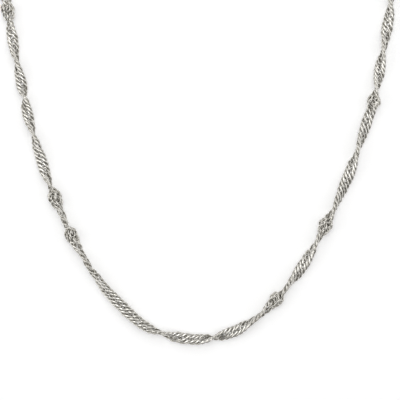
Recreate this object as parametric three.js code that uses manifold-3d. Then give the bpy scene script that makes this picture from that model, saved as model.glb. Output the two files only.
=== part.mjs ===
// Twisted curb neck chain with bunched knots, closed by a plain box clasp and two jump rings.
// It lies flat as one closed loop. Millimetres, +X across, +Y from the front to the clasp, +Z up.

import * as THREE from 'three';
import { mergeVertices } from 'three/addons/utils/BufferGeometryUtils.js';
import Module from 'manifold-3d';

const wasm = await Module();
wasm.setup();

// Driving sizes of the loop
const necklaceLength = 457;
const sideLean = 11;
const straightShare = 1.6;

// Fineness of the loop's curve, and the distance at which corners are joined
const backSteps = 30;
const curveDivisions = 20;
const curveTension = 0.5;
const weldDistance = 1e-4;

// Driving sizes of the chain band
const bandWidth = 2.65;
const bandThickness = 1.2;
const edgeBevel = 0.3;
const halfTurn = 10.35;
const stepsPerHalfTurn = 10;

// Driving sizes of the knots, where the links bunch up
const knotWidth = 3.2;
const knotDepth = 2.5;
const knotFace = 1.7;
const knotTaper = 5.6;

// Driving sizes of the end eyes, jump rings and clasp
const eyeWire = 0.5;
const ringWire = 0.6;
const ringDiameter = 3.6;
const linkClearance = 0.35;
const solderOverlap = 0.35;
const claspLength = 7;
const claspWidth = 3.6;
const claspEdge = 0.5;
const claspEdgeSteps = 3;
const wireSides = 8;
const ringSteps = 16;

// Colour and finish of the metal
const silverColour = 0xc8c4b9;
const silverRoughness = 0.22;

// Chosen points of the chain's middle line, from the left strand through the front to the right
const frontRoute = [
  [-41.4, 31.5], [-39.6, 22.9], [-37.9, 15.7], [-36.2, 10.3], [-34.4, 4.9], [-32.8, 0.9],
  [-30.7, -4.1], [-28.6, -8.6], [-26.1, -13.1], [-23.7, -16.8], [-20.9, -20.5], [-17.8, -23.7],
  [-13.9, -27.2], [-10.1, -29.4], [-5.6, -30.7], [-1.1, -31.2], [2.9, -30.9], [7.3, -29.6],
  [10.7, -27.6], [13.6, -25.6], [16.8, -22.5], [20.3, -18.4], [22.9, -14.9], [26, -9.7],
  [28.4, -5], [30.7, -0.5], [33, 4.9], [35, 10.3], [36.8, 15.7], [38.5, 20.7],
  [39.6, 25.2], [40.7, 31.5],
];

// How far the band has turned, in half turns, at places counted in half turn lengths
// from the middle of the loop. It lies flat at whole numbers and stands on edge between them
const turnTable = [
  { place: -7.25, turned: -6 }, { place: -6.97, turned: -5.6 }, { place: -6.9, turned: -5.4 },
  { place: -6.58, turned: -5 }, { place: -6.18, turned: -4.6 }, { place: -6.06, turned: -4.42 },
  { place: -5.45, turned: -4 }, { place: -4.98, turned: -3.6 }, { place: -4.89, turned: -3.4 },
  { place: -4.66, turned: -3 }, { place: -4.4, turned: -2.62 }, { place: -4.2, turned: -2.52 },
  { place: -3.97, turned: -2.48 }, { place: -3.7, turned: -2 }, { place: -3.32, turned: -1.56 },
  { place: -3.05, turned: -1.48 }, { place: -2.6, turned: -1.28 }, { place: -2, turned: -1.02 },
  { place: -1.55, turned: -0.88 }, { place: -1.2, turned: -0.74 }, { place: -0.83, turned: -0.58 },
  { place: -0.75, turned: -0.42 }, { place: -0.62, turned: -0.27 }, { place: -0.42, turned: 0 },
  { place: 0.1, turned: 0.2 }, { place: 0.3, turned: 0.34 }, { place: 0.36, turned: 0.5 },
  { place: 0.42, turned: 0.7 }, { place: 0.7, turned: 1 }, { place: 1, turned: 1.15 },
  { place: 1.25, turned: 1.4 }, { place: 1.42, turned: 1.5 }, { place: 1.55, turned: 1.56 },
  { place: 1.93, turned: 2 }, { place: 2.2, turned: 2.45 }, { place: 2.35, turned: 2.55 },
  { place: 2.5, turned: 2.66 }, { place: 2.9, turned: 3 }, { place: 3.5, turned: 3.5 },
  { place: 3.97, turned: 4 }, { place: 4.2, turned: 4.4 }, { place: 4.35, turned: 4.55 },
  { place: 4.7, turned: 4.75 }, { place: 5.1, turned: 5 }, { place: 5.67, turned: 5.5 },
  { place: 5.9, turned: 5.72 }, { place: 6.55, turned: 6 }, { place: 6.87, turned: 6.3 },
  { place: 7.06, turned: 6.5 }, { place: 7.45, turned: 7 },
];

// Knots, at places counted in half turn lengths from the middle of the loop.
// The steep face of each looks towards the clasp, and its taper towards the front
const knotPlaces = [
  -19.1, -16.9, -12.8, -11.8, -8.9, -4.68, -3.79, 2.04, 4.0, 6.87, 10.2, 12.2, 15.3, 18.6,
];

// Sizes that follow from the driving ones
const bandHeight = bandWidth / 2;
const eyeRadius = ringWire / 2 + linkClearance + eyeWire / 2;
const ringRadius = (ringDiameter - ringWire) / 2;
const loopPlace = claspLength / 2 + eyeRadius + eyeWire / 2 - solderOverlap;
const ringPlace = loopPlace + ringRadius;
const eyePlace = ringPlace + ringRadius;
const chainReach = eyePlace + eyeRadius + eyeWire / 2 - solderOverlap;
const straightReach = chainReach * straightShare;

const silver = () => new THREE.MeshStandardMaterial({
  color: silverColour,
  metalness: 1,
  roughness: silverRoughness,
});

// Half of the stretch behind the front route, from the middle of the clasp to the route's end:
// a straight, a quarter circle, an upright side and a bend that takes up the side's lean
function backPoints(end, length) {
  const lean = THREE.MathUtils.degToRad(sideLean);
  const bendShare = lean / (1 - Math.cos(lean));
  const bends = 2 * bendShare * end.across;
  const quarter = Math.PI / 2;
  const straight = straightReach * (1 - quarter);
  const halfWidth = (length - straight + bends) / (quarter + 2 * bendShare);
  const corner = halfWidth - straightReach;
  const bend = (halfWidth - end.across) / (1 - Math.cos(lean));
  const foot = end.along + bend * Math.sin(lean);
  const top = foot + bend * lean + corner;
  const path = new THREE.Path();
  path.moveTo(0, top);
  path.lineTo(straightReach, top);
  path.absarc(straightReach, top - corner, corner, quarter, 0, true);
  path.lineTo(halfWidth, foot);
  path.absarc(halfWidth - bend, foot, bend, 0, -lean, true);
  return path.getSpacedPoints(backSteps);
}

// The whole loop's middle line, from the clasp down the left strand and back up the right one
function loopCurve() {
  const front = frontRoute.map(([x, y]) => new THREE.Vector3(x, y, 0));
  const left = front[0];
  const right = front[front.length - 1];
  const frontLength = new THREE.CatmullRomCurve3(front, false, 'catmullrom', curveTension).getLength();
  const end = { across: (right.x - left.x) / 2, along: (left.y + right.y) / 2 };
  const back = backPoints(end, (necklaceLength - frontLength) / 2).slice(0, -1);
  const middle = (left.x + right.x) / 2;
  const down = back.map(({ x, y }) => new THREE.Vector3(middle - x, y, 0));
  const up = back.slice(1).reverse().map(({ x, y }) => new THREE.Vector3(middle + x, y, 0));
  const points = [...down, ...front, ...up];
  const curve = new THREE.CatmullRomCurve3(points, true, 'catmullrom', curveTension);
  curve.arcLengthDivisions = points.length * curveDivisions;
  return curve;
}

const loop = loopCurve();
const loopLength = loop.getLength();

// Place and directions at a distance along the loop, measured from the clasp
function frameAt(distance) {
  const share = THREE.MathUtils.euclideanModulo(distance / loopLength, 1);
  const tangent = loop.getTangentAt(share);
  return {
    point: loop.getPointAt(share),
    tangent,
    side: new THREE.Vector3(-tangent.y, tangent.x, 0),
  };
}

// Twist of the band, in radians: a left hand screw that goes on evenly past the table's ends
function twistAt(place) {
  const nearest = place < 0 ? turnTable[0] : turnTable[turnTable.length - 1];
  let turned = nearest.turned + place - nearest.place;
  for (let i = 1; i < turnTable.length; i += 1) {
    const from = turnTable[i - 1];
    const to = turnTable[i];
    if (place >= from.place && place <= to.place) {
      turned = THREE.MathUtils.mapLinear(place, from.place, to.place, from.turned, to.turned);
    }
  }
  return -Math.PI * turned;
}

// Share of the knot's size, from 0 on the plain band to 1 at a knot's steep face
function knotShare(place) {
  let share = 0;
  for (const knot of knotPlaces) {
    const towardsFront = (place - knot) * halfTurn * (knot < 0 ? 1 : -1);
    const length = towardsFront < 0 ? knotFace : knotTaper;
    share = Math.max(share, 1 - THREE.MathUtils.smoothstep(Math.abs(towardsFront), 0, length));
  }
  return share;
}

// Corners of the flat band's section, going round it
function sectionCorners() {
  const x = bandWidth / 2;
  const y = bandThickness / 2;
  const half = [[x - edgeBevel, y], [x, y - edgeBevel], [x, edgeBevel - y], [x - edgeBevel, -y]];
  const otherHalf = half.map(([cx, cy]) => [-cx, -cy]);
  return [...half, ...otherHalf].map(([cx, cy]) => new THREE.Vector2(cx, cy));
}

// A straight flat bar, wound and laid along the loop so that each section rests on the surface
function bandGeometry() {
  const length = loopLength - 2 * chainReach;
  const corners = sectionCorners();
  const bar = new THREE.ExtrudeGeometry(new THREE.Shape(corners), {
    depth: length,
    steps: Math.round(length / halfTurn * stepsPerHalfTurn),
    bevelEnabled: false,
  });
  const vertices = bar.getAttribute('position');
  const centre = new THREE.Vector2();
  for (let i = 0; i < vertices.count; i += 1) {
    const distance = chainReach + vertices.getZ(i);
    const place = (distance - loopLength / 2) / halfTurn;
    const share = knotShare(place);
    const scale = new THREE.Vector2(
      THREE.MathUtils.lerp(1, knotWidth / bandWidth, share),
      THREE.MathUtils.lerp(1, knotDepth / bandThickness, share),
    );
    const twist = twistAt(place);
    const wound = (corner) => corner.clone().multiply(scale).rotateAround(centre, twist);
    const rest = Math.max(...corners.map((corner) => -wound(corner).y));
    const corner = wound(new THREE.Vector2(vertices.getX(i), vertices.getY(i)));
    const { point, side } = frameAt(distance);
    point.addScaledVector(side, corner.x);
    vertices.setXYZ(i, point.x, point.y, corner.y + Math.max(bandHeight, rest));
  }
  return bar;
}

// A three.js geometry as a solid, and a solid as a geometry
function solidOf(geometry) {
  const bare = geometry.clone();
  bare.deleteAttribute('normal');
  bare.deleteAttribute('uv');
  const merged = mergeVertices(bare, weldDistance);
  return new wasm.Manifold(new wasm.Mesh({
    numProp: 3,
    vertProperties: new Float32Array(merged.getAttribute('position').array),
    triVerts: new Uint32Array(merged.index.array),
  }));
}

function geometryOf(solid) {
  const mesh = solid.getMesh();
  const geometry = new THREE.BufferGeometry();
  geometry.setAttribute('position', new THREE.BufferAttribute(mesh.vertProperties, 3));
  geometry.setIndex(new THREE.BufferAttribute(mesh.triVerts, 1));
  geometry.computeVertexNormals();
  return geometry;
}

// A ring of wire standing up along the loop at a distance from the clasp
function standingEye(distance) {
  const { point, tangent } = frameAt(distance);
  const eye = new THREE.TorusGeometry(eyeRadius, eyeWire / 2, wireSides, ringSteps);
  eye.rotateX(Math.PI / 2);
  eye.rotateZ(Math.atan2(tangent.y, tangent.x));
  eye.translate(point.x, point.y, bandHeight);
  return eye;
}

// Chain: the twisted band with its knots, and a soldered eye at each end
function chain() {
  const band = solidOf(bandGeometry());
  const firstEye = solidOf(standingEye(eyePlace));
  const lastEye = solidOf(standingEye(-eyePlace));
  const mesh = new THREE.Mesh(geometryOf(band.add(firstEye).add(lastEye)), silver());
  mesh.name = 'chain';
  return mesh;
}

// Jump ring: a closed round ring that lies flat through the chain's eye and the clasp's loop
function jumpRing(name, distance) {
  const ring = new THREE.TorusGeometry(ringRadius, ringWire / 2, wireSides, ringSteps);
  const mesh = new THREE.Mesh(ring, silver());
  const { point } = frameAt(distance);
  mesh.name = name;
  mesh.position.set(point.x, point.y, bandHeight);
  return mesh;
}

// Clasp: a plain closed box with round ends, flat underneath, and a loop at each end
function clasp() {
  const straight = claspLength / 2 - claspWidth / 2;
  const radius = claspWidth / 2 - claspEdge;
  const outline = new THREE.Shape();
  outline.absarc(straight, 0, radius, -Math.PI / 2, Math.PI / 2);
  outline.absarc(-straight, 0, radius, Math.PI / 2, Math.PI * 3 / 2);
  const body = new THREE.ExtrudeGeometry(outline, {
    depth: bandWidth - 2 * claspEdge,
    steps: 1,
    curveSegments: wireSides,
    bevelThickness: claspEdge,
    bevelSize: claspEdge,
    bevelSegments: claspEdgeSteps,
  });
  const { point } = frameAt(0);
  body.translate(point.x, point.y, claspEdge);
  const solid = solidOf(body)
    .add(solidOf(standingEye(loopPlace)))
    .add(solidOf(standingEye(-loopPlace)));
  const mesh = new THREE.Mesh(geometryOf(solid), silver());
  mesh.name = 'clasp';
  return mesh;
}

const necklace = new THREE.Group();
necklace.add(chain());
necklace.add(jumpRing('jump_ring_left', ringPlace));
necklace.add(jumpRing('jump_ring_right', -ringPlace));
necklace.add(clasp());

// The loop stands in the middle of its own box, on the surface it lies on
const box = new THREE.Box3().setFromObject(necklace);
const middle = box.getCenter(new THREE.Vector3());
necklace.position.set(-middle.x, -middle.y, 0);

export default necklace;
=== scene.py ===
import math
import random

import bmesh
import bpy
from mathutils import Euler, Matrix, Vector


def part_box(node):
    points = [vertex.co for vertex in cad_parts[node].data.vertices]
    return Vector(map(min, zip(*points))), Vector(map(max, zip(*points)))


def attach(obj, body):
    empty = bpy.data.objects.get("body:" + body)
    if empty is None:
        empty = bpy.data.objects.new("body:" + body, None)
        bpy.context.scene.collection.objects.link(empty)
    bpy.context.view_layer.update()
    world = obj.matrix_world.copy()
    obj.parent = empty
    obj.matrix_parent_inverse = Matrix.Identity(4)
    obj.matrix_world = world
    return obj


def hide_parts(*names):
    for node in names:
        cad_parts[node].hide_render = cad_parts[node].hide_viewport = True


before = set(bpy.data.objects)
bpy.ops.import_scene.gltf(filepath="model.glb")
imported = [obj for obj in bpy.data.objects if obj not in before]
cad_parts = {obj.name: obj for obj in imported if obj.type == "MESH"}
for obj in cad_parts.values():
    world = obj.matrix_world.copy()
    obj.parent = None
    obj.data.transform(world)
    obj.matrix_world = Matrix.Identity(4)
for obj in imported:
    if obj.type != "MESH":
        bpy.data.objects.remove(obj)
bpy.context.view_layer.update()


# The silver
# Warm white silver, polished by tumbling, so it shines all over but keeps fine scratches.
# Where wires press together it is painted darker, as painted shade. The same dark colour gives the
# fittings an even light tarnish.
MM = 0.001
SILVER_BRIGHT = (0.80, 0.78, 0.732, 1.0)
SILVER_WORN = (0.68, 0.66, 0.608, 1.0)
SHADE_AND_PATINA_COLOUR = (0.30, 0.283, 0.245, 1.0)
# Wear lies in soft clouds, and scratches are a fine grain that dulls the polish a little
CLOUD_SCALE = 420.0
CLOUD_DETAIL = 3.0
CLOUD_RANGE = (0.42, 0.68)
SCRATCH_SCALE = 5200.0
SCRATCH_DETAIL = 2.0
SCRATCH_STRENGTH = 0.5
SCRATCH_ROUGHNESS = 0.10
RECESS_ROUGHNESS = 0.22


def node_socket(tree, kind, name, in_out, default=None):
    """A named input or output of a node tree"""
    socket = tree.interface.new_socket(name=name, in_out=in_out, socket_type=kind)
    if default is not None:
        socket.default_value = default
    return socket


def calculate(tree, operation, *values):
    """A math node fed with sockets or set numbers"""
    node = tree.nodes.new("ShaderNodeMath")
    node.operation = operation
    for socket, value in zip(node.inputs, values):
        if isinstance(value, (int, float)):
            socket.default_value = value
        else:
            tree.links.new(value, socket)
    return node.outputs["Value"]


def share_between(tree, value, ends, interpolation="LINEAR"):
    """How far a value is from one end of a range to the other, from 0 to 1"""
    share = tree.nodes.new("ShaderNodeMapRange")
    share.interpolation_type = interpolation
    share.inputs["From Min"].default_value = ends[0]
    share.inputs["From Max"].default_value = ends[1]
    tree.links.new(value, share.inputs["Value"])
    return share.outputs["Result"]


def mixed_colour(tree, share, first, second):
    """The first colour, turned into the second by a share"""
    mix = tree.nodes.new("ShaderNodeMix")
    mix.data_type = "RGBA"
    tree.links.new(share, mix.inputs["Factor"])
    tree.links.new(first, mix.inputs["A"])
    tree.links.new(second, mix.inputs["B"])
    return mix.outputs["Result"]


def tumbled_silver_group():
    """Colour, roughness and height of tumbled silver, darkened by painted shade, and on the
    fittings by an even tarnish, as far as its share says
    """
    group = bpy.data.node_groups.new("tumbled_silver", "ShaderNodeTree")
    node_socket(group, "NodeSocketColor", "Bright", "INPUT", SILVER_BRIGHT)
    node_socket(group, "NodeSocketColor", "Worn", "INPUT", SILVER_WORN)
    node_socket(group, "NodeSocketColor", "Shade And Patina Colour", "INPUT", SHADE_AND_PATINA_COLOUR)
    node_socket(group, "NodeSocketFloat", "Shade And Patina", "INPUT", 0.0)
    node_socket(group, "NodeSocketFloat", "Polished Roughness", "INPUT", 0.1)
    node_socket(group, "NodeSocketColor", "Color", "OUTPUT")
    node_socket(group, "NodeSocketFloat", "Roughness", "OUTPUT")
    node_socket(group, "NodeSocketFloat", "Height", "OUTPUT")
    given = group.nodes.new("NodeGroupInput").outputs
    result = group.nodes.new("NodeGroupOutput").inputs
    place = group.nodes.new("ShaderNodeTexCoord")

    def noise(scale, detail):
        texture = group.nodes.new("ShaderNodeTexNoise")
        texture.inputs["Scale"].default_value = scale
        texture.inputs["Detail"].default_value = detail
        group.links.new(place.outputs["Object"], texture.inputs["Vector"])
        return texture.outputs["Fac"]

    wear = share_between(group, noise(CLOUD_SCALE, CLOUD_DETAIL), CLOUD_RANGE)
    metal = mixed_colour(group, wear, given["Bright"], given["Worn"])
    # Painted shade: the dark colour is mixed in where wires press together, in hollows and in
    # creases; on the fittings part of it is an even tarnish
    shaded_and_patinated = mixed_colour(group, given["Shade And Patina"], metal, given["Shade And Patina Colour"])
    scratches = noise(SCRATCH_SCALE, SCRATCH_DETAIL)
    grain = calculate(group, "MULTIPLY_ADD",
                      scratches, SCRATCH_ROUGHNESS, given["Polished Roughness"])
    rough = calculate(group, "MULTIPLY_ADD", given["Shade And Patina"], RECESS_ROUGHNESS, grain)
    group.links.new(shaded_and_patinated, result["Color"])
    group.links.new(rough, result["Roughness"])
    group.links.new(scratches, result["Height"])
    return group


TUMBLED_SILVER = tumbled_silver_group()


def silver_material(name, roughness, scratch_depth):
    """Tumbled silver, darkened by painted shade, and on the fittings by an even tarnish, as far as
    the mesh's attribute says
    """
    material = bpy.data.materials.new(name)
    material.use_nodes = True
    nodes = material.node_tree.nodes
    links = material.node_tree.links
    shader = nodes["Principled BSDF"]
    shader.inputs["Metallic"].default_value = 1.0
    finish = nodes.new("ShaderNodeGroup")
    finish.node_tree = TUMBLED_SILVER
    finish.inputs["Polished Roughness"].default_value = roughness
    shade_and_patina = nodes.new("ShaderNodeAttribute")
    shade_and_patina.attribute_name = "shade_and_patina"
    links.new(shade_and_patina.outputs["Fac"], finish.inputs["Shade And Patina"])
    bump = nodes.new("ShaderNodeBump")
    bump.inputs["Strength"].default_value = SCRATCH_STRENGTH
    bump.inputs["Distance"].default_value = scratch_depth
    links.new(finish.outputs["Color"], shader.inputs["Base Color"])
    links.new(finish.outputs["Roughness"], shader.inputs["Roughness"])
    links.new(finish.outputs["Height"], bump.inputs["Height"])
    links.new(bump.outputs["Normal"], shader.inputs["Normal"])
    return material


# The chain's lie
# The closed loop that the chain lies in on the surface: the front as it was laid out, then a
# side that bends upright on each strand, and a round top with the clasp in its middle.
NECKLACE_LENGTH = 457 * MM
SIDE_LEAN = math.radians(11)
BACK_STEPS = 30
CLOSURE_REACH = 8.1 * MM
STRAIGHT_SHARE = 1.6
STRAIGHT_REACH = CLOSURE_REACH * STRAIGHT_SHARE
CURVE_STEPS = 40
# Places along the front in millimetres from the picture's middle, to the right and to the clasp
FRONT_ROUTE = [
    (-41.4, 31.5), (-39.6, 22.9), (-37.9, 15.7), (-36.2, 10.3), (-34.4, 4.9), (-32.8, 0.9),
    (-30.7, -4.1), (-28.6, -8.6), (-26.1, -13.1), (-23.7, -16.8), (-20.9, -20.5), (-17.8, -23.7),
    (-13.9, -27.2), (-10.1, -29.4), (-5.6, -30.7), (-1.1, -31.2), (2.9, -30.9), (7.3, -29.6),
    (10.7, -27.6), (13.6, -25.6), (16.8, -22.5), (20.3, -18.4), (22.9, -14.9), (26, -9.7),
    (28.4, -5), (30.7, -0.5), (33, 4.9), (35, 10.3), (36.8, 15.7), (38.5, 20.7),
    (39.6, 25.2), (40.7, 31.5),
]


def smooth_line(points, closed):
    """Points close together on the smooth curve through the given ones"""
    count = len(points)
    line = []
    for i in range(count if closed else count - 1):
        here = points[i]
        after = points[(i + 1) % count]
        before = points[i - 1] if closed or i else here * 2 - after
        last = closed or i < count - 2
        beyond = points[(i + 2) % count] if last else after * 2 - here
        leave = (after - before) / 2
        arrive = (beyond - here) / 2
        for k in range(CURVE_STEPS):
            t = k / CURVE_STEPS
            line.append(
                here + leave * t
                + ((after - here) * 3 - leave * 2 - arrive) * t ** 2
                + ((here - after) * 2 + leave + arrive) * t ** 3
            )
    line.append(points[0] if closed else points[-1])
    return line


def distances(line):
    """How far along the line each of its points is"""
    along = [0.0]
    for a, b in zip(line, line[1:]):
        along.append(along[-1] + (b - a).length)
    return along


def back_points(across, along, length):
    """Places from the clasp's middle round to the front's end, which is at across and along"""
    bend_share = SIDE_LEAN / (1 - math.cos(SIDE_LEAN))
    half_width = (
        (length - STRAIGHT_REACH * (1 - math.pi / 2) + 2 * bend_share * across)
        / (math.pi / 2 + 2 * bend_share)
    )
    corner = half_width - STRAIGHT_REACH
    bend = (half_width - across) / (1 - math.cos(SIDE_LEAN))
    foot = along + bend * math.sin(SIDE_LEAN)
    top = foot + bend * SIDE_LEAN + corner
    arc = corner * math.pi / 2
    points = []
    for i in range(BACK_STEPS):
        way = length * i / BACK_STEPS
        if way <= STRAIGHT_REACH:
            points.append((way, top))
        elif way <= STRAIGHT_REACH + arc:
            angle = math.pi / 2 - (way - STRAIGHT_REACH) / corner
            points.append((STRAIGHT_REACH + corner * math.cos(angle),
                           top - corner + corner * math.sin(angle)))
        elif way <= STRAIGHT_REACH + arc + bend * SIDE_LEAN:
            points.append((half_width, top - corner - (way - STRAIGHT_REACH - arc)))
        else:
            angle = (STRAIGHT_REACH + arc + bend * SIDE_LEAN - way) / bend
            points.append((half_width - bend + bend * math.cos(angle),
                           foot + bend * math.sin(angle)))
    return points


front = [Vector((x * MM, y * MM, 0)) for x, y in FRONT_ROUTE]
front_length = distances(smooth_line(front, False))[-1]
middle = (front[0].x + front[-1].x) / 2
half_back = back_points(
    (front[-1].x - front[0].x) / 2,
    (front[0].y + front[-1].y) / 2,
    (NECKLACE_LENGTH - front_length) / 2,
)
route = [Vector((middle - x, y, 0)) for x, y in half_back]
route += front
route += [Vector((middle + x, y, 0)) for x, y in reversed(half_back[1:])]

# The whole lie moves so that its closure is at the clasp's middle in the frame
clasp_low, clasp_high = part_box("clasp")
clasp_middle = Vector(clasp_low).lerp(Vector(clasp_high), 0.5)
lie = Vector((clasp_middle.x, clasp_middle.y, 0)) - route[0]
loop = [point + lie for point in smooth_line(route, True)]
loop_distance = distances(loop)
loop_length = loop_distance[-1]
CHAIN_HEIGHT = clasp_middle.z


def loop_frame(distance):
    """Place on the loop, with the direction along it and the one to its left"""
    distance %= loop_length
    low = 0
    high = len(loop) - 1
    while high - low > 1:
        between = (low + high) // 2
        if loop_distance[between] <= distance:
            low = between
        else:
            high = between
    share = (distance - loop_distance[low]) / (loop_distance[high] - loop_distance[low])
    before = loop[low] - loop[low - 1] if low else loop[0] - loop[-2]
    step = loop[high] - loop[low]
    along = before.normalized().lerp(step.normalized(), 0.5 + share / 2).normalized()
    return loop[low].lerp(loop[high], share), along, Vector((-along.y, along.x, 0))


# The chain
# Round silver wire bent into curb links, each reaching over the next three, rolled flat on both
# faces. The flat band is wound to the left, and bunched here and there into knots that flare.
# The links aren't free of each other: each cuts into a neighbour's wire, typically by 0.1 mm.
HALF_TURN = 10.35 * MM
LINK_PITCH = 1.19 * MM
WIRE_RADIUS = 0.25 * MM
LINK_SIDES = 16
WIRE_SIDES = 6
# The middle line of a link's wire is drawn out along the band, peaks at the band's edges, and is
# wound like a saddle, so that it passes over and under its neighbours
LINK_HALF_LENGTH = 1.981 * MM
LINK_END = 0.15 * MM
LINK_HALF_WIDTH = 0.80 * MM
LINK_SHOULDER = -0.28 * MM
LINK_WIND = -0.597 * MM
LINK_RIPPLE = 0.038 * MM
CUT_HEIGHT = 0.5 * MM
PROUD_SHARE = 0.25
EDGE_CROWDING = 0.16
# Painted shade: the wire is painted darker from where its surface faces into the link, and beside
# the flat faces, where neighbouring wires shade it
INWARD_RANGE = (0.25, -0.75)
FLANK_RANGE = (0.75, 0.1)
FLANK_SHADE = 0.5
LINK_SHARP = math.radians(75)
CHAIN_ROUGHNESS = 0.12
CHAIN_SCRATCH_DEPTH = 0.01 * MM
# Inside a knot the links are smaller: least at its face, and back to their full size over these
# lengths before the face and behind it
KNOT_FACE = 1.7 * MM
KNOT_TAPER = 5.6 * MM
KNOT_CORE = 0.74
# Each link is turned and shifted by up to this much, and all are lifted a little off the surface
LINK_SLACK = math.radians(7)
LINK_PLAY = 0.07 * MM
LINK_LIFT = 0.08 * MM
SLACK_SEED = 11
# Places where the band's twist changes pace, each with the half turns made by then, both counted
# from the front's middle
TURN_TABLE = [
    (-7.25, -6), (-6.97, -5.6), (-6.9, -5.4), (-6.58, -5), (-6.18, -4.6), (-6.06, -4.42),
    (-5.45, -4), (-4.98, -3.6), (-4.89, -3.4), (-4.66, -3), (-4.4, -2.62), (-4.2, -2.52),
    (-3.97, -2.48), (-3.7, -2), (-3.32, -1.56), (-3.05, -1.48), (-2.6, -1.28), (-2, -1.02),
    (-1.55, -0.88), (-1.2, -0.74), (-0.83, -0.58), (-0.75, -0.42), (-0.62, -0.27), (-0.42, 0),
    (0.1, 0.2), (0.3, 0.34), (0.36, 0.5), (0.42, 0.7), (0.7, 1), (1, 1.15), (1.25, 1.4),
    (1.42, 1.5), (1.55, 1.56), (1.93, 2), (2.2, 2.45), (2.35, 2.55), (2.5, 2.66), (2.9, 3),
    (3.5, 3.5), (3.97, 4), (4.2, 4.4), (4.35, 4.55), (4.7, 4.75), (5.1, 5), (5.67, 5.5),
    (5.9, 5.72), (6.55, 6), (6.87, 6.3), (7.06, 6.5), (7.45, 7),
]
# Places of the knots' faces, counted the same way
KNOT_PLACES = [
    -19.1, -16.9, -12.8, -11.8, -8.9, -4.68, -3.79, 2.04, 4.0, 6.87, 10.2, 12.2, 15.3, 18.6,
]

chain_silver = silver_material("chain_silver", CHAIN_ROUGHNESS, CHAIN_SCRATCH_DEPTH)


def twist_at(place):
    """Twist of the band at a place counted in half turns from the middle of the front"""
    nearest = TURN_TABLE[0] if place < 0 else TURN_TABLE[-1]
    turned = nearest[1] + place - nearest[0]
    for (from_place, from_turned), (to_place, to_turned) in zip(TURN_TABLE, TURN_TABLE[1:]):
        if from_place <= place <= to_place:
            share = (place - from_place) / (to_place - from_place)
            turned = from_turned + (to_turned - from_turned) * share
    return -math.pi * turned


def knot_share(place):
    """How far into a knot a place is, from 0 outside to 1 at the knot's face"""
    best = 0.0
    for knot in KNOT_PLACES:
        opens = -1 if knot < 0 else 1
        behind_face = (knot - place) * HALF_TURN * opens
        length = KNOT_FACE if behind_face < 0 else KNOT_TAPER
        t = min(abs(behind_face) / length, 1)
        best = max(best, 1 - t * t * (3 - 2 * t))
    return best


def link_places():
    """Each link's place, turn and size: evenly along the band, but a little loose in the next"""
    slack = random.Random(SLACK_SEED)
    places = []
    distance = CLOSURE_REACH + LINK_PITCH / 2
    last = loop_length - CLOSURE_REACH - LINK_PITCH / 4
    while distance < last:
        place = (distance - loop_length / 2) / HALF_TURN
        share = knot_share(place)
        point, along, side = loop_frame(distance)
        up = Vector((0, 0, 1))
        twist = twist_at(place)
        wide = side * math.cos(twist) + up * math.sin(twist)
        thick = up * math.cos(twist) - side * math.sin(twist)
        turn = Matrix((along, wide, thick)).transposed()
        loose = Euler([slack.uniform(-LINK_SLACK, LINK_SLACK) for axis in range(3)]).to_matrix()
        shift = Vector([slack.uniform(-LINK_PLAY, LINK_PLAY) for axis in range(3)])
        centre = point + up * (CHAIN_HEIGHT + LINK_LIFT) + shift
        places.append((centre, (turn @ loose).to_euler(), 1 + (KNOT_CORE - 1) * share))
        distance += LINK_PITCH
    return places


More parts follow.
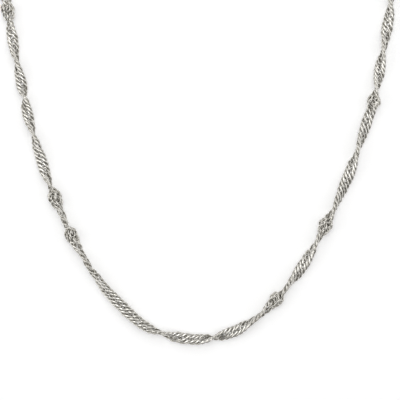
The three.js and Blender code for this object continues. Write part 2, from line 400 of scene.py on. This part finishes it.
def link_tree():
    """Geometry nodes: one curb link from its sizes, set on each place and turned with it"""
    tree = bpy.data.node_groups.new("curb_links", "GeometryNodeTree")
    node_socket(tree, "NodeSocketGeometry", "Geometry", "INPUT")
    sizes = {}
    for name, value in (
        ("Half Length", LINK_HALF_LENGTH), ("End Pull", LINK_END),
        ("Half Width", LINK_HALF_WIDTH), ("Shoulder", LINK_SHOULDER),
        ("Wind", LINK_WIND), ("Ripple", LINK_RIPPLE), ("Wire Radius", WIRE_RADIUS),
        ("Cut Height", CUT_HEIGHT), ("Proud Share", PROUD_SHARE),
        ("Edge Crowding", EDGE_CROWDING), ("Flank Shade", FLANK_SHADE),
    ):
        sizes[name] = node_socket(tree, "NodeSocketFloat", name, "INPUT", value)
    sizes["Link Sides"] = node_socket(tree, "NodeSocketInt", "Link Sides", "INPUT", LINK_SIDES)
    sizes["Wire Sides"] = node_socket(tree, "NodeSocketInt", "Wire Sides", "INPUT", WIRE_SIDES)
    sizes["Silver"] = node_socket(tree, "NodeSocketMaterial", "Silver", "INPUT")
    node_socket(tree, "NodeSocketGeometry", "Geometry", "OUTPUT")
    nodes = tree.nodes
    links = tree.links
    given = nodes.new("NodeGroupInput").outputs
    result = nodes.new("NodeGroupOutput").inputs

    def math_node(operation, *values):
        return calculate(tree, operation, *values)

    # More of the sides fall where the link bends at the band's edges
    corner = nodes.new("GeometryNodeInputIndex").outputs["Index"]
    even = math_node("DIVIDE", math_node("MULTIPLY", corner, math.tau), given["Link Sides"])
    wave = math_node("SINE", math_node("MULTIPLY", even, 2.0))
    around = math_node("MULTIPLY_ADD", wave, given["Edge Crowding"], even)

    def harmonic(wave, turns, size):
        angle = math_node("MULTIPLY", around, turns)
        return math_node("MULTIPLY", math_node(wave, angle), given[size])

    shape = nodes.new("ShaderNodeCombineXYZ")
    for axis, wave, first, first_size, second, second_size in (
        ("X", "COSINE", 1, "Half Length", 3, "End Pull"),
        ("Y", "SINE", 1, "Half Width", 3, "Shoulder"),
        ("Z", "SINE", 2, "Wind", 4, "Ripple"),
    ):
        reach = math_node("ADD", harmonic(wave, first, first_size),
                          harmonic(wave, second, second_size))
        links.new(reach, shape.inputs[axis])

    ring = nodes.new("GeometryNodeCurvePrimitiveCircle")
    links.new(given["Link Sides"], ring.inputs["Resolution"])
    bent = nodes.new("GeometryNodeSetPosition")
    links.new(ring.outputs["Curve"], bent.inputs["Geometry"])
    links.new(shape.outputs["Vector"], bent.inputs["Position"])
    upright = nodes.new("GeometryNodeSetCurveNormal")
    upright.mode = "Z_UP"
    links.new(bent.outputs["Geometry"], upright.inputs["Curve"])
    section = nodes.new("GeometryNodeCurvePrimitiveCircle")
    links.new(given["Wire Sides"], section.inputs["Resolution"])
    links.new(given["Wire Radius"], section.inputs["Radius"])
    wire = nodes.new("GeometryNodeCurveToMesh")
    links.new(upright.outputs["Curve"], wire.inputs["Curve"])
    links.new(section.outputs["Curve"], wire.inputs["Profile Curve"])

    # Painted shade mask: the wire's inner side and its flanks, which press on the next wires, are
    # painted dark
    place = nodes.new("GeometryNodeInputPosition")
    normal = nodes.new("GeometryNodeInputNormal")
    outward = nodes.new("ShaderNodeVectorMath")
    outward.operation = "NORMALIZE"
    links.new(place.outputs["Position"], outward.inputs[0])
    facing_out = nodes.new("ShaderNodeVectorMath")
    facing_out.operation = "DOT_PRODUCT"
    links.new(outward.outputs["Vector"], facing_out.inputs[0])
    links.new(normal.outputs["Normal"], facing_out.inputs[1])
    hollow = share_between(tree, facing_out.outputs["Value"], INWARD_RANGE)
    facing = nodes.new("ShaderNodeSeparateXYZ")
    links.new(normal.outputs["Normal"], facing.inputs["Vector"])
    flank = share_between(tree, math_node("ABSOLUTE", facing.outputs["Z"]), FLANK_RANGE)
    painted_shade = math_node("MAXIMUM", hollow, math_node("MULTIPLY", flank, given["Flank Shade"]))
    marked = nodes.new("GeometryNodeStoreNamedAttribute")
    marked.data_type = "FLOAT"
    marked.domain = "POINT"
    marked.inputs["Name"].default_value = "shade_and_patina"
    links.new(wire.outputs["Mesh"], marked.inputs["Geometry"])
    links.new(painted_shade, marked.inputs["Value"])

    # Both faces of the band are rolled flat, so little of what stood above them is left
    level = nodes.new("ShaderNodeSeparateXYZ")
    links.new(place.outputs["Position"], level.inputs["Vector"])
    below = math_node("MINIMUM", level.outputs["Z"], given["Cut Height"])
    kept = math_node("MAXIMUM", below, math_node("MULTIPLY", given["Cut Height"], -1.0))
    proud = math_node("SUBTRACT", level.outputs["Z"], kept)
    height = math_node("MULTIPLY_ADD", proud, given["Proud Share"], kept)
    cut = nodes.new("ShaderNodeCombineXYZ")
    links.new(level.outputs["X"], cut.inputs["X"])
    links.new(level.outputs["Y"], cut.inputs["Y"])
    links.new(height, cut.inputs["Z"])
    faced = nodes.new("GeometryNodeSetPosition")
    links.new(marked.outputs["Geometry"], faced.inputs["Geometry"])
    links.new(cut.outputs["Vector"], faced.inputs["Position"])

    turn = nodes.new("GeometryNodeInputNamedAttribute")
    turn.data_type = "FLOAT_VECTOR"
    turn.inputs["Name"].default_value = "turn"
    size = nodes.new("GeometryNodeInputNamedAttribute")
    size.data_type = "FLOAT"
    size.inputs["Name"].default_value = "size"
    rotation = nodes.new("FunctionNodeEulerToRotation")
    links.new(turn.outputs["Attribute"], rotation.inputs["Euler"])
    copies = nodes.new("GeometryNodeInstanceOnPoints")
    links.new(given["Geometry"], copies.inputs["Points"])
    links.new(faced.outputs["Geometry"], copies.inputs["Instance"])
    links.new(rotation.outputs["Rotation"], copies.inputs["Rotation"])
    links.new(size.outputs["Attribute"], copies.inputs["Scale"])
    whole = nodes.new("GeometryNodeRealizeInstances")
    links.new(copies.outputs["Instances"], whole.inputs["Geometry"])
    finish = nodes.new("GeometryNodeSetMaterial")
    links.new(whole.outputs["Geometry"], finish.inputs["Geometry"])
    links.new(given["Silver"], finish.inputs["Material"])
    links.new(finish.outputs["Geometry"], result["Geometry"])
    return tree, {name: socket.identifier for name, socket in sizes.items()}


def plain_object(name, mesh):
    """A new object in the scene for a mesh"""
    piece = bpy.data.objects.new(name, mesh)
    bpy.context.scene.collection.objects.link(piece)
    return piece


def finish_piece(piece, node, sharp):
    """Smooth but for edges past the sharp angle, and standing for a node of the part"""
    piece.data.polygons.foreach_set("use_smooth", [True] * len(piece.data.polygons))
    piece.data.set_sharp_from_angle(angle=sharp)
    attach(piece, "root")
    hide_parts(node)


def linked_piece(name, places, sizes):
    """One plain mesh of links, each set on its place and turned with it, in the given sizes"""
    mesh = bpy.data.meshes.new(name + "_places")
    mesh.from_pydata([tuple(point) for point, turn, size in places], [], [])
    mesh.attributes.new("turn", "FLOAT_VECTOR", "POINT")
    mesh.attributes.new("size", "FLOAT", "POINT")
    for i, (point, turn, size) in enumerate(places):
        mesh.attributes["turn"].data[i].vector = tuple(turn)
        mesh.attributes["size"].data[i].value = size
    seed = plain_object(name + "_places", mesh)
    linker = seed.modifiers.new("curb_links", "NODES")
    linker.node_group = CURB_LINKS
    for socket, value in sizes.items():
        linker[LINK_INPUTS[socket]] = value
    evaluated = seed.evaluated_get(bpy.context.evaluated_depsgraph_get())
    links = bpy.data.meshes.new_from_object(evaluated)
    links.name = name
    seed.modifiers.remove(linker)
    bpy.data.objects.remove(seed)
    finish_piece(plain_object(name, links), "chain", LINK_SHARP)


CURB_LINKS, LINK_INPUTS = link_tree()
linked_piece("chain_links", link_places(), {"Silver": chain_silver})


# The knots
# Small oval links of thinner wire in rings that close round the band like a bud, steep towards
# the clasp and tapered towards the front. They are sunk into the band and into each other.
KNOT_LINK_HALF_LENGTH = 0.95 * MM
KNOT_LINK_HALF_WIDTH = 0.68 * MM
KNOT_LINK_WIND = 0.16 * MM
KNOT_WIRE_RADIUS = 0.17 * MM
KNOT_FLAT = 0.8
KNOT_LIFT = 0.14 * MM
KNOT_SKEW = math.radians(-24)
KNOT_SCATTER = math.radians(16)
KNOT_OUT_SCATTER = (0.9, 1.12)
KNOT_SIZE_SCATTER = (0.9, 1.1)
KNOT_SEED = 4
# Each ring of small links: how many, how far behind the face, how far out, how far it leans
KNOT_RINGS = [
    (4, 0.0 * MM, 0.6 * MM, math.radians(-48)), (6, 0.75 * MM, 1.0 * MM, math.radians(-10)),
    (5, 1.6 * MM, 0.94 * MM, math.radians(14)), (4, 2.6 * MM, 0.66 * MM, math.radians(16)),
]
KNOT_FACE_PLACE = 0.6 * MM


def knot_links(knot, scatter):
    """Place, turn and size of each small link in the knot at a place along the chain"""
    opens = -1 if knot < 0 else 1
    middle, along, side = loop_frame(loop_length / 2 + knot * HALF_TURN)
    ahead = along * opens
    up = Vector((0, 0, 1))
    places = []
    for ring, (count, behind, out, lean) in enumerate(KNOT_RINGS):
        for i in range(count):
            angle = math.tau * (i + ring / 2) / count
            angle += scatter.uniform(-KNOT_SCATTER, KNOT_SCATTER)
            outward = side * math.cos(angle) + up * math.sin(angle)
            around = ahead.cross(outward)
            lengthwise = Matrix.Rotation(lean, 3, around) @ ahead
            outside = around.cross(lengthwise) * -1
            skew = KNOT_SKEW + scatter.uniform(-KNOT_SCATTER, KNOT_SCATTER)
            lengthwise = Matrix.Rotation(skew, 3, outside) @ lengthwise
            turn = Matrix((lengthwise, outside.cross(lengthwise), outside)).transposed()
            centre = outward * (out * scatter.uniform(*KNOT_OUT_SCATTER))
            centre.z *= KNOT_FLAT
            centre += middle + up * (CHAIN_HEIGHT + KNOT_LIFT) + ahead * (KNOT_FACE_PLACE - behind)
            places.append((centre, turn.to_euler(), scatter.uniform(*KNOT_SIZE_SCATTER)))
    return places


knot_scatter = random.Random(KNOT_SEED)
knot_places = [place for knot in KNOT_PLACES for place in knot_links(knot, knot_scatter)]
# Their wire nowhere reaches the cut height, because knots aren't rolled flat
linked_piece("knot_links", knot_places, {
    "Half Length": KNOT_LINK_HALF_LENGTH, "End Pull": 0.0,
    "Half Width": KNOT_LINK_HALF_WIDTH, "Shoulder": 0.0, "Wind": KNOT_LINK_WIND, "Ripple": 0.0,
    "Wire Radius": KNOT_WIRE_RADIUS, "Cut Height": KNOT_WIRE_RADIUS * 2,
    "Edge Crowding": 0.0, "Silver": chain_silver,
})


# The end eyes
# A round eye of thinner wire soldered to the last link at each end of the chain. It stands up,
# so that the flat jump ring passes through it.
EYE_WIRE = 0.5 * MM
RING_WIRE = 0.6 * MM
LINK_CLEARANCE = 0.35 * MM
SOLDER_OVERLAP = 0.35 * MM
EYE_RADIUS = RING_WIRE / 2 + LINK_CLEARANCE + EYE_WIRE / 2
EYE_PLACE = CLOSURE_REACH - EYE_RADIUS - EYE_WIRE / 2 + SOLDER_OVERLAP
FINE_STEPS = 48
FINE_SIDES = 12
# Tumbling leaves a light even tarnish on a ring's outside; inside it and in its seam the ring is
# painted darker still, as painted shade
RING_STAIN = 0.3
INSIDE_SHADE = 0.9
WELD_DISTANCE = 1e-7
FITTING_SHARP = math.radians(35)
FITTING_ROUGHNESS = 0.10
FITTING_SCRATCH_DEPTH = 0.006 * MM

fitting_silver = silver_material("fitting_silver", FITTING_ROUGHNESS, FITTING_SCRATCH_DEPTH)


def wire_ring(centre, across, up, radius, wire, seam=0.0):
    """Points, faces and levels of tarnish and painted shade of a closed ring of round wire,
    pinched by the depth of its seam
    """
    verts = []
    faces = []
    patina_and_shade_levels = []
    axis = across.cross(up).normalized()
    for i in range(FINE_STEPS):
        angle = math.tau * i / FINE_STEPS
        outward = across * math.cos(angle) + up * math.sin(angle)
        thin = seam if i == 0 else 0.0
        for k in range(FINE_SIDES):
            turn = math.tau * k / FINE_SIDES
            reach = outward * math.cos(turn) + axis * math.sin(turn)
            verts.append(centre + outward * radius + reach * (wire / 2 - thin))
            # Painted shade: the ring's inside and its seam are painted darker than its evenly
            # tarnished outside
            inside = 1.0 if thin else (1 - math.cos(turn)) / 2
            patina_and_shade_levels.append(RING_STAIN + (INSIDE_SHADE - RING_STAIN) * inside)
    for i in range(FINE_STEPS):
        for k in range(FINE_SIDES):
            a = i * FINE_SIDES + k
            b = i * FINE_SIDES + (k + 1) % FINE_SIDES
            c = (i + 1) % FINE_STEPS * FINE_SIDES + (k + 1) % FINE_SIDES
            d = (i + 1) % FINE_STEPS * FINE_SIDES + k
            faces.append((a, d, c, b))
    return verts, faces, patina_and_shade_levels


def mesh_piece(name, parts, material):
    """One object from several parts' points, faces and levels of tarnish and painted shade, with
    every face outwards
    """
    mesh = bpy.data.meshes.new(name)
    verts = []
    faces = []
    patina_and_shade_levels = []
    for part_verts, part_faces, part_patina_and_shade_levels in parts:
        first = len(verts)
        verts += [tuple(v) for v in part_verts]
        faces += [tuple(first + i for i in face) for face in part_faces]
        patina_and_shade_levels += part_patina_and_shade_levels
    mesh.from_pydata(verts, [], faces)
    mesh.attributes.new("shade_and_patina", "FLOAT", "POINT").data.foreach_set("value", patina_and_shade_levels)
    fixed = bmesh.new()
    fixed.from_mesh(mesh)
    bmesh.ops.remove_doubles(fixed, verts=fixed.verts, dist=WELD_DISTANCE)
    bmesh.ops.recalc_face_normals(fixed, faces=fixed.faces)
    fixed.to_mesh(mesh)
    fixed.free()
    mesh.materials.append(material)
    return plain_object(name, mesh)


def standing_eye(distance):
    """An upright eye of wire at a distance along the loop from the clasp's middle"""
    point, along, side = loop_frame(distance)
    centre = point + Vector((0, 0, CHAIN_HEIGHT))
    return wire_ring(centre, along, Vector((0, 0, 1)), EYE_RADIUS, EYE_WIRE)


end_eyes = mesh_piece("chain_end_eyes", [standing_eye(EYE_PLACE), standing_eye(-EYE_PLACE)],
                      fitting_silver)
finish_piece(end_eyes, "chain", FITTING_SHARP)


# The jump rings
# Plain rings of round wire, each closed and soldered at a fine seam, that lie flat and join an
# end eye of the chain to a loop of the clasp. The band's end links run into both.
RING_DIAMETER = 3.6 * MM
RING_RADIUS = (RING_DIAMETER - RING_WIRE) / 2
RING_PLACE = EYE_PLACE - RING_RADIUS
SEAM_DEPTH = 0.04 * MM


def jump_ring(name, distance, seam_side):
    """One ring lying at a distance along the loop, with its seam to one side"""
    point, along, side = loop_frame(distance)
    centre = point + Vector((0, 0, CHAIN_HEIGHT))
    ring = wire_ring(centre, side * seam_side, along, RING_RADIUS, RING_WIRE, SEAM_DEPTH)
    piece = mesh_piece(name + "_wire", [ring], fitting_silver)
    finish_piece(piece, name, FITTING_SHARP)


jump_ring("jump_ring_left", RING_PLACE, 1)
jump_ring("jump_ring_right", -RING_PLACE, -1)


# The clasp
# A closed box clasp, pressed from sheet with round ends, a flat underside and a softly domed
# top. A fine line shows where its two halves meet, and each half has a soldered loop.
LOOP_PLACE = RING_PLACE - RING_RADIUS
CLASP_LENGTH = 7 * MM
CLASP_WIDTH = 3.6 * MM
CLASP_TALL = 2 * CHAIN_HEIGHT
CLASP_LINE = 0.9 * MM
CLASP_LINE_HALF = 0.09 * MM
CLASP_LINE_DEPTH = 0.12 * MM
CLASP_STAIN = 0.3
END_STEPS = 12
# The case's outline at each level: how far in, as a share of half its width, and how far up, as a
# share of its height. Above the top's share, the fine line is pressed down as well as in.
CLASP_TOP = 0.7
CLASP_LEVELS = [
    (1.0, 0.0), (0.22, 0.0), (0.08, 0.03), (0.0, 0.14), (0.0, 0.4), (0.0, 0.66), (0.05, 0.8),
    (0.16, 0.91), (0.36, 0.975), (0.7, 0.995), (1.0, 1.0),
]


def clasp_outline():
    """Points round the clasp seen from above, as places on its middle line and directions"""
    radius = CLASP_WIDTH / 2
    straight = CLASP_LENGTH / 2 - radius
    stations = [-straight, -straight / 2, 0, CLASP_LINE - CLASP_LINE_HALF, CLASP_LINE,
                CLASP_LINE + CLASP_LINE_HALF, straight]
    outline = [(x, -math.pi / 2) for x in stations]
    outline += [(straight, -math.pi / 2 + math.pi * i / END_STEPS) for i in range(1, END_STEPS)]
    outline += [(x, math.pi / 2) for x in reversed(stations)]
    outline += [(-straight, math.pi / 2 + math.pi * i / END_STEPS) for i in range(1, END_STEPS)]
    return outline


def clasp_body():
    """Points, faces and levels of tarnish and painted shade of the case, with the fine line
    pressed into its sides and top
    """
    outline = clasp_outline()
    radius = CLASP_WIDTH / 2
    count = len(outline)
    verts = []
    faces = []
    patina_and_shade_levels = []
    for inset, rise in CLASP_LEVELS:
        for x, angle in outline:
            on_line = abs(x - CLASP_LINE) < CLASP_LINE_HALF / 2
            pressed = CLASP_LINE_DEPTH if on_line and rise > 0 else 0.0
            reach = (radius - pressed) * (1 - inset)
            tall = CLASP_TALL * rise - (pressed if rise > CLASP_TOP else 0.0)
            verts.append(clasp_middle + Vector((
                x + math.cos(angle) * reach, math.sin(angle) * reach, tall - CHAIN_HEIGHT,
            )))
            # Painted shade: the pressed line is painted fully dark; elsewhere the case has an even
            # light tarnish
            patina_and_shade_levels.append(1.0 if pressed else CLASP_STAIN)
    for level in range(len(CLASP_LEVELS) - 1):
        for i in range(count):
            a = level * count + i
            b = level * count + (i + 1) % count
            faces.append((a, b, b + count, a + count))
    return verts, faces, patina_and_shade_levels


clasp_loops = [standing_eye(LOOP_PLACE), standing_eye(-LOOP_PLACE)]
clasp = mesh_piece("clasp_body", [clasp_body()] + clasp_loops, fitting_silver)
finish_piece(clasp, "clasp", FITTING_SHARP)


# The stage
# A pale matt surface under the loop, in a grey room. Two soft lamps stand beyond the clasp and one
# on each side, so that most shadow falls outside the loop. The camera looks straight down.
PIXEL = 0.225 * MM
PICTURE = 400
LENS = 100
SENSOR = 36
CAMERA_HEIGHT = PIXEL * PICTURE * LENS / SENSOR
FLOOR_SIZE = 1.5
FLOOR_COLOUR = (0.9, 0.9, 0.9, 1.0)
FLOOR_ROUGHNESS = 0.9
FLOOR_SHINE = 0.1
FLOOR_GLOW = 0.235
# How bright the room is overhead, and how high up its ceiling and its walls begin and are whole
ROOM_TOP = 0.92
CEILING_RISE = (0.75, 0.93)
WALL_RISE = (0.15, 0.45)
# A hair over 1, so that straight up there is still something to divide by
ROOM_POLE = 1.0001
# The room's sides: axis, which half of it, and how bright low down and on the wall
ROOM_SIDES = [
    ("Y", "MAXIMUM", 0.0, 0.41), ("X", "MAXIMUM", 0.97, 0.65),
    ("Y", "MINIMUM", 0.54, 0.07), ("X", "MINIMUM", 1.43, 0.37),
]
# The lamps: compass direction from the picture's top, angle above the surface, and watts
LAMPS = [
    ("lamp_clasp_side", 0, 44, 0.33), ("lamp_overhead", 0, 75, 0.35),
    ("lamp_right", 90, 40, 0.16), ("lamp_left", -90, 40, 0.33),
]
LAMP_DISTANCE = 0.5
LAMP_SIZE = 0.29

floor_mesh = bpy.data.meshes.new("floor")
floor_mesh.from_pydata(
    [(-FLOOR_SIZE, -FLOOR_SIZE, 0), (FLOOR_SIZE, -FLOOR_SIZE, 0),
     (FLOOR_SIZE, FLOOR_SIZE, 0), (-FLOOR_SIZE, FLOOR_SIZE, 0)], [], [(0, 1, 2, 3)])
floor = plain_object("floor", floor_mesh)
floor_paint = bpy.data.materials.new("floor_paint")
floor_paint.use_nodes = True
floor_shader = floor_paint.node_tree.nodes["Principled BSDF"]
floor_shader.inputs["Base Color"].default_value = FLOOR_COLOUR
floor_shader.inputs["Roughness"].default_value = FLOOR_ROUGHNESS
floor_shader.inputs["Specular IOR Level"].default_value = FLOOR_SHINE
floor_shader.inputs["Emission Color"].default_value = (1, 1, 1, 1)
floor_shader.inputs["Emission Strength"].default_value = FLOOR_GLOW
floor_mesh.materials.append(floor_paint)

world = bpy.data.worlds.new("room")
bpy.context.scene.world = world
world.use_nodes = True
room = world.node_tree
room_place = room.nodes.new("ShaderNodeTexCoord")
direction = room.nodes.new("ShaderNodeSeparateXYZ")
room.links.new(room_place.outputs["Generated"], direction.inputs["Vector"])
ceiling_share = share_between(room, direction.outputs["Z"], CEILING_RISE, "SMOOTHSTEP")
wall_share = share_between(room, direction.outputs["Z"], WALL_RISE, "SMOOTHSTEP")
rise_squared = calculate(room, "POWER", direction.outputs["Z"], 2.0)
level_reach = calculate(room, "SUBTRACT", ROOM_POLE, rise_squared)
brightness = 0.0
for axis, half, low_level, wall_level in ROOM_SIDES:
    part = calculate(room, half, direction.outputs[axis], 0.0)
    side_share = calculate(room, "DIVIDE", calculate(room, "POWER", part, 2.0), level_reach)
    level = calculate(room, "MULTIPLY_ADD", wall_share, wall_level - low_level, low_level)
    brightness = calculate(room, "MULTIPLY_ADD", side_share, level, brightness)
not_ceiling = calculate(room, "SUBTRACT", 1.0, ceiling_share)
below_ceiling = calculate(room, "MULTIPLY", brightness, not_ceiling)
room_light = calculate(room, "MULTIPLY_ADD", ceiling_share, ROOM_TOP, below_ceiling)
room.links.new(room_light, room.nodes["Background"].inputs["Color"])

# The picture's middle falls on the edge between two pixels, and its scale holds at chain height
picture_middle = lie + Vector((-PIXEL / 2, PIXEL / 2, CHAIN_HEIGHT))

for name, compass, rise, power in LAMPS:
    lamp = bpy.data.lights.new(name, "AREA")
    lamp.shape = "DISK"
    lamp.size = LAMP_SIZE
    lamp.energy = power
    light = bpy.data.objects.new(name, lamp)
    towards = Vector((math.sin(math.radians(compass)) * math.cos(math.radians(rise)),
                      math.cos(math.radians(compass)) * math.cos(math.radians(rise)),
                      math.sin(math.radians(rise))))
    light.location = picture_middle + towards * LAMP_DISTANCE
    light.rotation_euler = towards.to_track_quat("Z", "Y").to_euler()
    bpy.context.scene.collection.objects.link(light)

bpy.context.scene.view_settings.view_transform = "Standard"
camera_data = bpy.data.cameras.new("camera")
camera_data.lens = LENS
camera_data.sensor_width = SENSOR
camera = bpy.data.objects.new("camera", camera_data)
camera.location = picture_middle + Vector((0, 0, CAMERA_HEIGHT))
bpy.context.scene.collection.objects.link(camera)
bpy.context.scene.camera = camera
